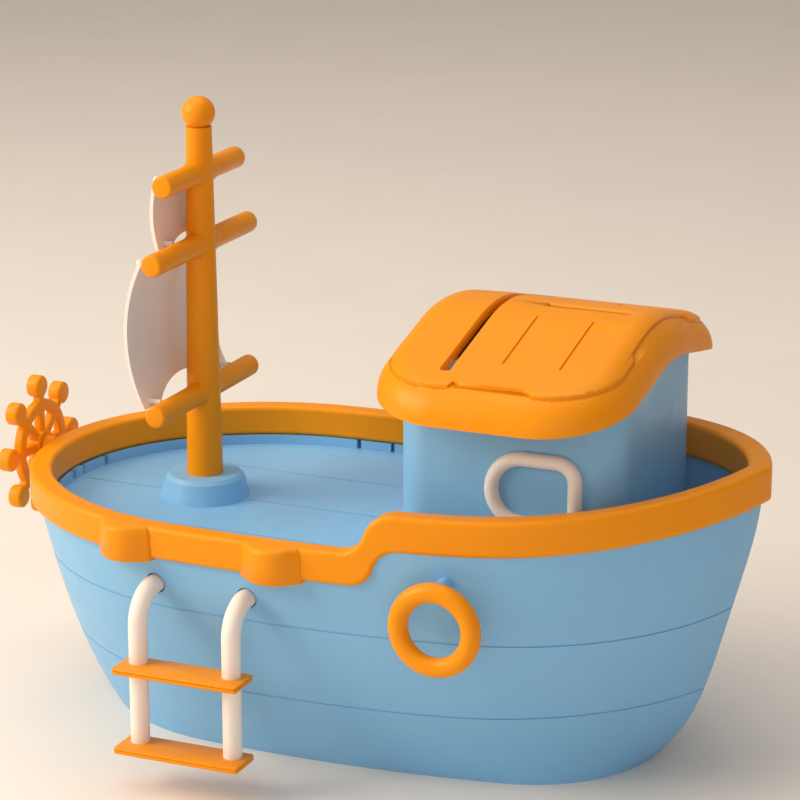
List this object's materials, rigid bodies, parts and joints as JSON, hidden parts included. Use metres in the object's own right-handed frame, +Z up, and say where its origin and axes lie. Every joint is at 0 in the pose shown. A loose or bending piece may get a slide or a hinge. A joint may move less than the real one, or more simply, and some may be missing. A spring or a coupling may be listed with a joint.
{
  "type": "money box",
  "caption": "Boat-shaped plastic money box: hull with rim and ladder, cabin with lift-off slotted roof, pull-out mast with sails, turning wheel and swinging life ring.",
  "frame": {"origin": "on the hull's flat underside, on the centre plane, halfway along the gunwale rim", "axes": "+X towards the prow, +Y towards port, +Z up"},
  "size_m": [0.2608, 0.1641, 0.2018],
  "materials": {
    "blue_plastic": "satin, light sky blue",
    "orange_plastic": "satin, warm orange",
    "white_plastic": "satin, warm white"
  },
  "bodies": {
    "hull": {"hull_shell": "blue_plastic", "gunwale_rim": "orange_plastic", "fender_post_aft": "orange_plastic", "fender_post_fore": "orange_plastic", "deck_plate": "blue_plastic", "deck_clips": "blue_plastic", "cabin_walls": "blue_plastic", "window_frame_starboard": "white_plastic", "window_frame_port": "white_plastic", "wheel_axle": "orange_plastic", "wheel_cap": "orange_plastic", "ring_peg": "blue_plastic", "ladder_rail_aft": "white_plastic", "ladder_rail_fore": "white_plastic", "ladder_rung_upper": "orange_plastic", "ladder_rung_lower": "orange_plastic"},
    "roof": {"cabin_roof": "orange_plastic"},
    "mast": {"mast_pole": "orange_plastic", "mast_ball": "orange_plastic", "yard_lower": "orange_plastic", "yard_middle": "orange_plastic", "yard_upper": "orange_plastic", "sail_lower": "white_plastic", "sail_upper": "white_plastic", "sail_pins": "white_plastic"},
    "wheel": {"ship_wheel": "orange_plastic"},
    "ring": {"life_ring": "orange_plastic"}
  },
  "joints": [
    {"name": "roof_lift", "type": "slide", "parent": "hull", "child": "roof", "axis": [0, 0, 1], "range_m": [0, 0.04]},
    {"name": "mast_pull", "type": "slide", "parent": "hull", "child": "mast", "axis": [0, 0, 1], "range_m": [0, 0.03]},
    {"name": "wheel_spin", "type": "hinge", "parent": "hull", "child": "wheel", "pos_m": [-0.131, 0, 0.0779], "axis": [1, 0, 0], "continuous": true},
    {"name": "ring_swing", "type": "hinge", "parent": "hull", "child": "ring", "pos_m": [0.0452, -0.0763, 0.0747], "axis": [0, 1, 0], "range_deg": [-45, 45]}
  ]
}
